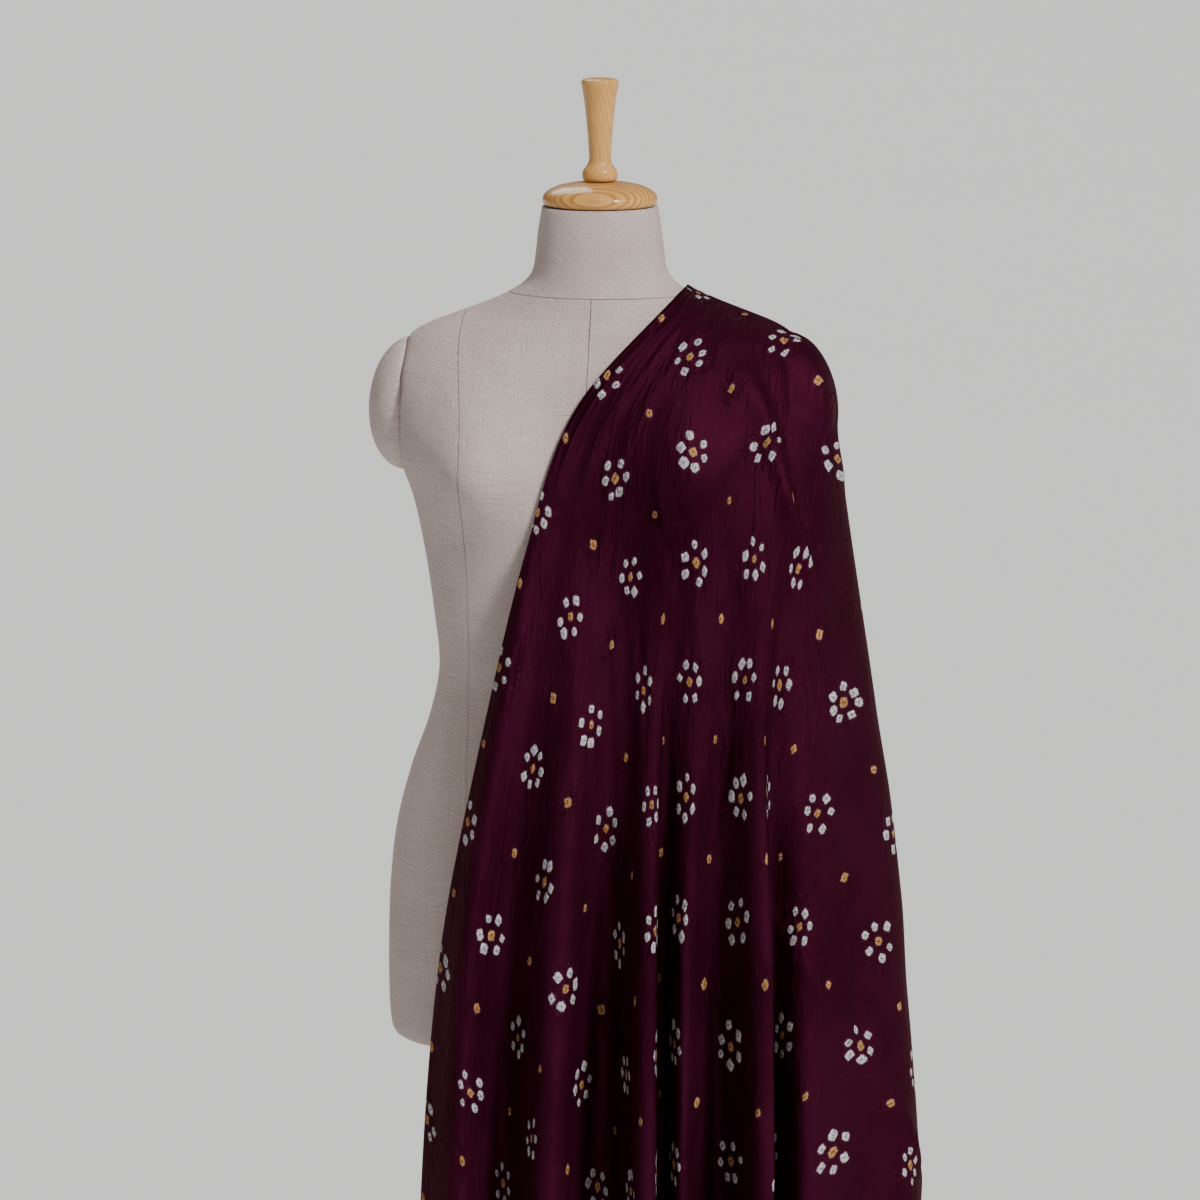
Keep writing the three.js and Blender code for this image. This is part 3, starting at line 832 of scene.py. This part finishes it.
@dataclass
class Drape:
    """The rectangular cloth, draped over the shoulder, in millimetres."""

    form: TorsoForm
    width: float = 980.0
    length: float = 1800.0
    thick: float = 0.9
    clear: float = 5.0
    most_slant: float = 2.5
    soft_touch: float = 6.0
    pad_overlap: float = 0.3
    bias_stretch: float = 0.06
    turn: float = math.radians(7.5)
    rows: int = 165
    row_crowding: float = 1.3
    between: int = 9
    line_steps: int = 420
    line_crowding: float = 1.8
    line_end: float = -260.0
    bend: tuple[float, float] = (0.69, 0.62)
    flare_below: float = 0.9
    levels: tuple = (1240, 1040, 850, 620, 60)
    shoulder_lift: tuple = (4.0, 1340.0, 1395.0)
    shoulder_line: tuple = (
        # width of cloth used since the neck point, x, y, z
        (0, 75, 2, 1422), (40, 101, 2, 1410), (88, 136, 2, 1396.6), (132, 165, 0, 1383.2),
        (170, 190, -2, 1365), (210, 204.5, -4, 1329), (264, 207.5, -4, 1282),
    )
    folds: tuple = (
        # start along the shoulder, lean in the flat cloth, then across at four levels, out at four
        (0, 0, -53, -102, -138, -156, 100, 108, 98, 98),
        (5, 6.5, -47, -88, -113, -121, 100, 132, 142, 152),
        (10, 11.5, -36, -62, -79, -84, 100, 128, 116, 102),
        (16, 17.5, -6, -27, -38, -46, 100, 148, 162, 176),
        (26, 25, 22, 13, 5, 1, 106, 136, 118, 94),
        (38, 34.5, 52, 46, 43, 42, 122, 158, 178, 194),
        (50, 38.5, 67, 57, 53, 53, 130, 146, 132, 116),
        (64, 42.5, 91, 80, 73, 70, 138, 160, 172, 184),
        (92, 45.5, 114, 104, 100, 104, 140, 148, 136, 122),
        (130, 49, 142, 136, 142, 144, 138, 168, 188, 206),
        (168, 53.5, 162, 146, 146, 147, 126, 144, 130, 116),
        (200, 58.5, 178, 174, 176, 178, 110, 138, 150, 158),
        (230, 65, 197, 208, 218, 226, 84, 102, 106, 104),
        (252, 74, 211.5, 240.5, 262.5, 280, 40, 44, 44, 44),
        (264, 90, 207, 234, 253, 265, -6, -40, -66, -84),
    )
    back_edge: tuple = ((-10, -46, -78, -94), (-100, -120, -132, -136))
    back_waves: float = 6.0
    back_out: tuple = (-100, -142, -158, -160)
    back_depth: tuple = (0, 12, 26, 46)
    back_turn: float = 0.2
    back_edge_share: float = 0.1
    fold_width: float = 30.0
    slip_runs: tuple = (60, 200, 400, 750)
    slips: tuple = (
        # fold, then the pattern's slip across and along at four ways down the fall
        (0, -5, 0, -5, 0, -6, 0, -6, 0),
        (1, -12, -1, -26, -1, -38, 2, -34, -12),
        (2, -18, -3, -38, -2, -55, 8, -44, -18),
        (3, -20, -4, -32, 6, -38, 12, -12, -8),
        (4.5, -21, -7, -28, 10, -27, 20, -34, 8),
        (6.7, -21, -8, -29, 9, -22, 8, -8, -20),
        (8.5, -12, -16, -14, -15, -12, -15, -17, -32),
        (10.5, -5, -20, -10, -36, 6, -48, 25, -68),
        (12.4, 7, -14, 23, -32, 29, -30, 41, 8),
        (14, 9, -10, 15, -18, 20, -20, 20, 0),
    )
    pipe_runs: tuple = (260, 560)
    pipes: tuple = (
        # fold in the middle of a sharp round pipe, half its width in folds, and its rise
        (3.1, 0.34, 6.0), (4.8, 0.3, 5.0), (8.8, 0.36, 5.5), (3.9, 0.4, -4.0), (6.0, 0.4, -3.0),
    )
    creases: tuple = (
        Crease((580, 291), (910, 158), 11, 5.5, 0.5),
        Crease((140, 54), (310, 104), 10, 3.4, -1.0),
        Crease((262, 99), (400, 86), 9, 2.6, -1.0),
        Crease((12, 20), (22, 240), 5, 1.8),
        Crease((26, 16), (48, 250), 6, 2.2),
        Crease((42, 14), (80, 262), 6, 2.0),
        Crease((62, 12), (118, 270), 7, 1.8),
        Crease((380, 240), (470, 400), 9, 2.0),
        Crease((500, 60), (700, 120), 16, 2.6),
        Crease((300, 210), (420, 330), 9, -2.0),
        Crease((160, 300), (260, 470), 8, 2.0),
    )
    wrinkles: Wrinkles = Wrinkles()
    crease_ends: tuple[float, float] = (-0.1, 0.3)
    corner_reach: float = 0.3
    corner_tries: int = 400

    def between_folds(self, place: Array) -> Array:
        """The fold table's row at places between its rows."""
        table = np.array(self.folds, float)
        index = np.arange(len(table))
        rows = np.stack([smooth_through(index, column, place) for column in table.T], -1)
        rows[:, 0] = np.maximum(rows[:, 0], 0)
        rows[:, 1] = np.clip(rows[:, 1], 0, 90)
        return rows

    def back_rows(self, place: Array) -> Array:
        """Rows of the back, which share start and lean with those of the front."""
        rows = self.between_folds(place)
        side = np.array(self.folds[-1], float)
        share = place / (len(self.folds) - 1)
        wave = np.cos(2 * np.pi * (self.back_waves * (1 - share) + 0.5))
        turned = smooth_step(1 - share, 0, self.back_turn)
        flat = smooth_step(share, 0, self.back_edge_share)
        for k in range(4):
            rows[:, 2 + k] = mix(self.back_edge[0][k], side[2 + k], share)
            waved = self.back_out[k] + self.back_depth[k] * wave
            waved = mix(self.back_edge[1][k], waved, flat)
            rows[:, 6 + k] = mix(side[6 + k], waved, turned)
        return rows

    def settle(self, points: Array, side: int) -> Array:
        """Keeps points of the cloth clear of the form, in front (-1) or behind (1)."""
        x, y, z = points.T
        lifted = smooth_step(z, self.shoulder_lift[1], self.shoulder_lift[2])
        at = np.maximum(z - self.shoulder_lift[0] * lifted, self.form.sections[0][0])
        skin = self.skin(x, at, side)
        steep_x = (self.skin(x + 1, at, side) - self.skin(x - 1, at, side)) / 2
        steep_z = (self.skin(x, at + 1, side) - self.skin(x, at - 1, side)) / 2
        slant = np.minimum(np.sqrt(1 + steep_x ** 2 + steep_z ** 2), self.most_slant)
        over = skin + self.clear * mix(slant, 1.0, lifted) - side * y
        soft = self.soft_touch
        lift = np.where(over > soft, over, np.maximum(over + soft, 0) ** 2 / (4 * soft))
        moved = np.where((skin > 0) & (z < self.form.sections[-1][0]), side * lift, 0)
        return np.stack([x, y + moved, z], -1)

    def skin(self, x: Array, z: Array, side: int) -> Array:
        """Depth of the form with its arm pad, in front of or behind the axis."""
        pad = ArmPad(1, self.form)
        loose = self.clear - 1
        across = (x - self.form.armhole_x) / (pad.reach + loose)
        out = np.maximum(across, 0)
        up = (z - pad.z + pad.tip_drop * out) / (pad.half_high + loose)
        round_off = 1 - out * out - up * up
        dome = pad.half_deep * np.sqrt(np.maximum(round_off, 0)) * (across > -self.pad_overlap)
        return np.maximum(self.form.depth(x, z, side), dome)

    def fall(self, row: Array, side: int) -> tuple[Array, Array]:
        """One fall of the cloth.

        Args:
            row: a row of the fold table.
            side: -1 in front, 1 behind.

        Returns:
            The places down the fall, and the flat cloth's places there.
        """
        line = np.array(self.shoulder_line, float)
        start = np.array([smooth_through(line[:, 0], line[:, k], row[0]) for k in (1, 2, 3)])
        cos, sin = math.cos(self.turn), math.sin(self.turn)
        first = (start[0] * cos + start[1] * sin, start[0] * sin - start[1] * cos)
        chest, waist, hip, low, hem = self.levels
        drops = -np.array([start[2], (start[2] + chest) / 2, chest, waist, hip, low, hem])
        ways = []
        for k, (begin, bend) in enumerate(zip(first, self.bend)):
            at = row[2 + 4 * k : 6 + 4 * k]
            end = at[3] + (at[3] - at[2]) * self.flare_below
            ways.append([begin, mix(begin, at[0], bend), *at, end])
        steps = (np.arange(1, self.line_steps + 1) / self.line_steps) ** self.line_crowding
        z = mix(start[2], self.line_end, steps)
        across, out = (smooth_through(drops, way, -z) for way in ways)
        points = np.stack([across * cos + out * sin, across * sin - out * cos, z], -1)
        points = np.vstack([start, self.settle(points, side)])
        run = np.concatenate([[0], np.cumsum(np.linalg.norm(np.diff(points, axis=0), axis=1))])
        lean = math.radians(row[1])
        to_side = (self.width - row[0]) / max(math.sin(lean), 1e-6)
        to_hem = self.length / 2 / max(math.cos(lean), 1e-6)
        shares = (np.arange(self.rows + 1) / self.rows) ** self.row_crowding
        flat_run = min(to_side, to_hem) * shares
        stretch = 1 + self.bias_stretch * math.sin(2 * lean) ** 2
        places = np.stack([np.interp(flat_run * stretch, run, points[:, k]) for k in range(3)], -1)
        used = row[0] + flat_run * math.sin(lean)
        return places, np.stack([used, -side * flat_run * math.cos(lean)], -1)

    def columns(self) -> tuple[Array, Array]:
        """All falls, from the front selvedge round the side to the back one."""
        count = len(self.folds) - 1
        place = np.linspace(0, count, count * self.between + 1)
        rows = self.between_folds(place)
        past = np.tan(np.radians(np.minimum(rows[:, 1], 89.9))) * self.length / 2
        corner = int(np.argmin(np.abs(past - (self.width - rows[:, 0]))))
        reach = self.corner_reach
        tries = np.linspace(place[corner] - reach, place[corner] + reach, self.corner_tries)
        some = self.between_folds(tries)
        gone = np.tan(np.radians(some[:, 1])) * self.length / 2 - (self.width - some[:, 0])
        place[corner] = tries[int(np.argmin(np.abs(gone)))]
        falls = [self.fall(row, -1) for row in self.between_folds(place)]
        falls += [self.fall(row, 1) for row in self.back_rows(place[-2::-1])]
        return np.array([a for a, _ in falls]), np.array([b for _, b in falls])

    @staticmethod
    def grid_normals(points: Array) -> Array:
        """The unit normals of a grid of points, out of the drape."""
        along = np.gradient(points, axis=0)
        down = np.gradient(points, axis=1)
        normals = np.cross(down, along)
        size = np.linalg.norm(normals, axis=-1, keepdims=True)
        return normals / np.maximum(size, 1e-9)

    def creased(self, points: Array, flat: Array) -> Array:
        """The falls with their round pipes, creases and small wrinkles pressed in."""
        place, run = self.falling(flat)
        rise = np.zeros(points.shape[:2])
        for middle, wide, high in self.pipes:
            bell = np.exp(-(((place - middle) / wide) ** 2))
            rise += high * bell[:, None] * smooth_step(run, *self.pipe_runs)
        for crease in (*self.creases, *self.wrinkles.make()):
            start, end = np.array(crease.start), np.array(crease.end)
            way = end - start
            long = np.linalg.norm(way)
            way = way / long
            gap = flat - start
            along = gap @ way
            aside = gap @ np.array([way[1], -way[0]]) / crease.wide
            low, high = (share * long for share in self.crease_ends)
            ends = smooth_step(along, low, high) * smooth_step(long - along, low, high)
            bell = np.exp(-aside * aside)
            rise += crease.rise * ends * bell * mix(1.0, aside * 1.6, crease.lopsided)
        return points + self.grid_normals(points) * rise[..., None]

    def build(self) -> bpy.types.Object:
        """Builds the cloth as one thin closed sheet.

        Returns:
            The piece, with its two maps.
        """
        points, flat = self.columns()
        points = self.creased(points, flat)
        falls, rows = points.shape[:2]
        half = falls // 2
        points[half + 1 :, 0] = points[half - 1 :: -1, 0]
        number = np.arange(falls * rows).reshape(falls, rows)
        number[half + 1 :, 0] = number[half - 1 :: -1, 0]
        a, b = number[:-1, :-1], number[1:, :-1]
        c, d = number[:-1, 1:], number[1:, 1:]
        faces = np.stack([a, c, d, b], -1).reshape(-1, 4)
        used = np.unique(faces)
        back = np.zeros(falls * rows, int)
        back[used] = np.arange(len(used))
        piece = new_mesh("bandhani_cloth", points.reshape(-1, 3)[used], back[faces])
        pattern, falling = self.maps(flat)
        add_map(piece, DyedCloth.flat_map, pattern.reshape(-1, 2)[used])
        add_map(piece, DyedCloth.fall_map, falling.reshape(-1, 2)[used])
        self.thicken(piece)
        return piece

    def falling(self, flat: Array) -> tuple[Array, Array]:
        """The number of each fall in the fold table, and the way down it at each point."""
        place = np.linspace(0, len(self.folds) - 1, flat.shape[0] // 2 + 1)
        place = np.concatenate([place, place[-2::-1]])
        return place, np.hypot(flat[..., 0] - flat[:, :1, 0], flat[..., 1])

    def maps(self, flat: Array) -> tuple[Array, Array]:
        """The two maps of the cloth.

        Args:
            flat: the flat cloth's places.

        Returns:
            The places in the pattern, which slips a little on the falls, and the places along
            the falls: the fold's number times its usual width, and the way down the fall.
        """
        half = flat.shape[0] // 2
        place, run = self.falling(flat)
        table = np.array(self.slips, float)
        slips = np.stack([smooth_through(table[:, 0], column, place) for column in table.T[1:]], -1)
        top = slips[:, None, :2]
        slip = top
        for k in range(1, len(self.slip_runs)):
            share = smooth_step(run, self.slip_runs[k - 1], self.slip_runs[k])[..., None]
            slip = mix(slip, slips[:, None, 2 * k : 2 * k + 2], share)
        away = smooth_step(run, self.slip_runs[0], self.slip_runs[2])[..., None]
        slip[half + 1 :] = (top * (1 - away))[half + 1 :]
        aside = np.broadcast_to(place[:, None] * self.fold_width, run.shape)
        return flat + slip, np.stack([aside, run], -1)

    def thicken(self, piece: bpy.types.Object) -> None:
        """Gives the sheet its thickness, with the modifier applied."""
        solid = piece.modifiers.new("thickness", "SOLIDIFY")
        solid.thickness = self.thick * MM
        solid.offset = 0.0
        bpy.context.view_layer.objects.active = piece
        with bpy.context.temp_override(object=piece, active_object=piece):
            bpy.ops.object.modifier_apply(modifier=solid.name)


# The studio


@dataclass
class Studio:
    """A pale floor, soft lights and a camera at the object's viewing angle."""

    azimuth: float = math.radians(7.5)
    elevation: float = math.radians(9.0)
    distance: float = 6.0
    width_seen: float = 1.044
    target: tuple[float, float, float] = (0.0, 0.0, 1.146)
    floor_colour: Colour = (0.83, 0.82, 0.81)
    floor_shade: Colour = (0.74, 0.73, 0.72)
    floor_half: float = 40000.0
    floor_drop: float = 0.4
    world_colour: Colour = (0.94, 0.93, 0.93)
    world_light: float = 0.15
    lamps: tuple = (
        # name, azimuth and elevation in degrees, angle of its softness, strength
        ("key", 46.0, 37.0, 12.0, 3.5),
        ("top", 20.0, 68.0, 30.0, 0.5),
        ("back", 205.0, 38.0, 30.0, 0.9),
    )

    def floor(self) -> None:
        """Lays the floor."""
        half, z = self.floor_half, -self.floor_drop
        corners = [[-half, -half, z], [half, -half, z], [half, half, z], [-half, half, z]]
        floor = new_mesh("floor", corners, [[0, 1, 2, 3]])
        f = Finish("pale_floor")
        cloud = f.noise(f.place(), 0.6, 2.0)
        colour = f.colours(cloud * 0.1, self.floor_colour, self.floor_shade)
        floor.data.materials.append(f.surface(Base_Color=colour, Roughness=0.8))

    def lights(self) -> None:
        """Hangs the soft lights and sets the surrounding light."""
        world = bpy.data.worlds.new("studio")
        bpy.context.scene.world = world
        world.use_nodes = True
        back = world.node_tree.nodes["Background"]
        back.inputs["Color"].default_value = (*self.world_colour, 1.0)
        back.inputs["Strength"].default_value = self.world_light
        for name, azimuth, elevation, angle, strength in self.lamps:
            light = bpy.data.lights.new(name, "SUN")
            light.angle, light.energy = math.radians(angle), strength
            lamp = bpy.data.objects.new(name, light)
            way = self.way(math.radians(azimuth), math.radians(elevation))
            lamp.location = Vector(self.target) + way * 3
            lamp.rotation_euler = way.to_track_quat("Z", "Y").to_euler()
            bpy.context.scene.collection.objects.link(lamp)

    @staticmethod
    def way(azimuth: float, elevation: float) -> Vector:
        """The direction from the object towards an azimuth and elevation, 0 being in front."""
        level = math.cos(elevation)
        return Vector((math.sin(azimuth) * level, -math.cos(azimuth) * level, math.sin(elevation)))

    def camera(self) -> None:
        """Sets up the camera."""
        data = bpy.data.cameras.new("camera")
        data.sensor_width = 36.0
        data.lens = data.sensor_width * self.distance / self.width_seen
        camera = bpy.data.objects.new("camera", data)
        way = self.way(self.azimuth, self.elevation)
        camera.location = Vector(self.target) + way * self.distance
        camera.rotation_euler = way.to_track_quat("Z", "Y").to_euler()
        bpy.context.scene.collection.objects.link(camera)
        bpy.context.scene.camera = camera


def place(piece: bpy.types.Object, node: str, slot: str, material: bpy.types.Material) -> None:
    """Gives a piece its finish and puts it in its solid's place.

    Args:
        piece: the piece.
        node: the solid that it stands for.
        slot: not used.
        material: its finish.
    """
    piece.data.materials.clear()
    piece.data.materials.append(material)
    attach(piece, BODY)
    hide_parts(node)
    log.info("%s stands for %s, with %d faces", piece.name, node, len(piece.data.polygons))


NECK_CAP = (
    (0, 0), (47, 0), (49.4, 2.5), (50, 6), (48.6, 10),
    (44, 14), (36, 17.4), (26, 19.6), (15, 20.8), (0, 21),
)
HANDLE = (
    (0, 0), (13.5, 0), (15.3, 2.5), (15.5, 6), (14.3, 10), (11.4, 13.5), (9.6, 17), (9.5, 22),
    (10.8, 42), (13, 64), (15.4, 80), (16.4, 84.5), (15.6, 87.6), (10, 88.8), (0, 89),
)
FOOT = (
    (0, 0), (164, 0), (168, 3), (170, 9), (168, 16), (160, 21),
    (120, 25), (60, 29), (34, 33), (28, 40), (0, 40),
)
POLE = ((0, 0), (16, 0), (17, 1), (17, 358), (17, 715.4), (16, 716.4), (0, 716.4))


def main() -> None:
    """Builds every piece in order and reports it."""
    studio = Studio()
    studio.camera()
    studio.floor()
    studio.lights()

    form = TorsoForm()
    linen = Linen().make("slub_linen")
    place(form.build(), "torso", "linen", linen)
    for side, node in ((1, "arm_cap_left"), (-1, "arm_cap_right")):
        place(ArmPad(side, form).build(), node, "linen", linen)

    cap_wood = TurnedWood(Grain.ACROSS, 4.2 * MM, 0.8, 0.2, heart=(0.0, 0.055, 1.425))
    foot_wood = TurnedWood(Grain.ACROSS, 11 * MM, 0.6, 0.32, heart=(0.0, 0.09, -0.05))
    handle_wood = TurnedWood(ring_pitch=1.7 * MM, depth=0.32, heart=(-0.05, 0.03, 0.0))
    turned = (
        TurnedPiece("neck_cap_wood", "neck_cap", NECK_CAP, cap_wood),
        TurnedPiece("handle_wood", "neck_handle", HANDLE, handle_wood),
        TurnedPiece("pole_wood", "pole", POLE, TurnedWood(gloss=0.36)),
        TurnedPiece("foot_wood", "base", FOOT, foot_wood),
    )
    for piece in turned:
        place(piece.build(), piece.node, "turned_wood", piece.finish.make(piece.name + "_finish"))

    drape = Drape(form)
    cloth = drape.build()
    place(cloth, "cloth", "dyed_cloth", DyedCloth().make("bandhani_dye"))


if __name__ == "__main__":
    logging.basicConfig(level=logging.INFO)
    main()
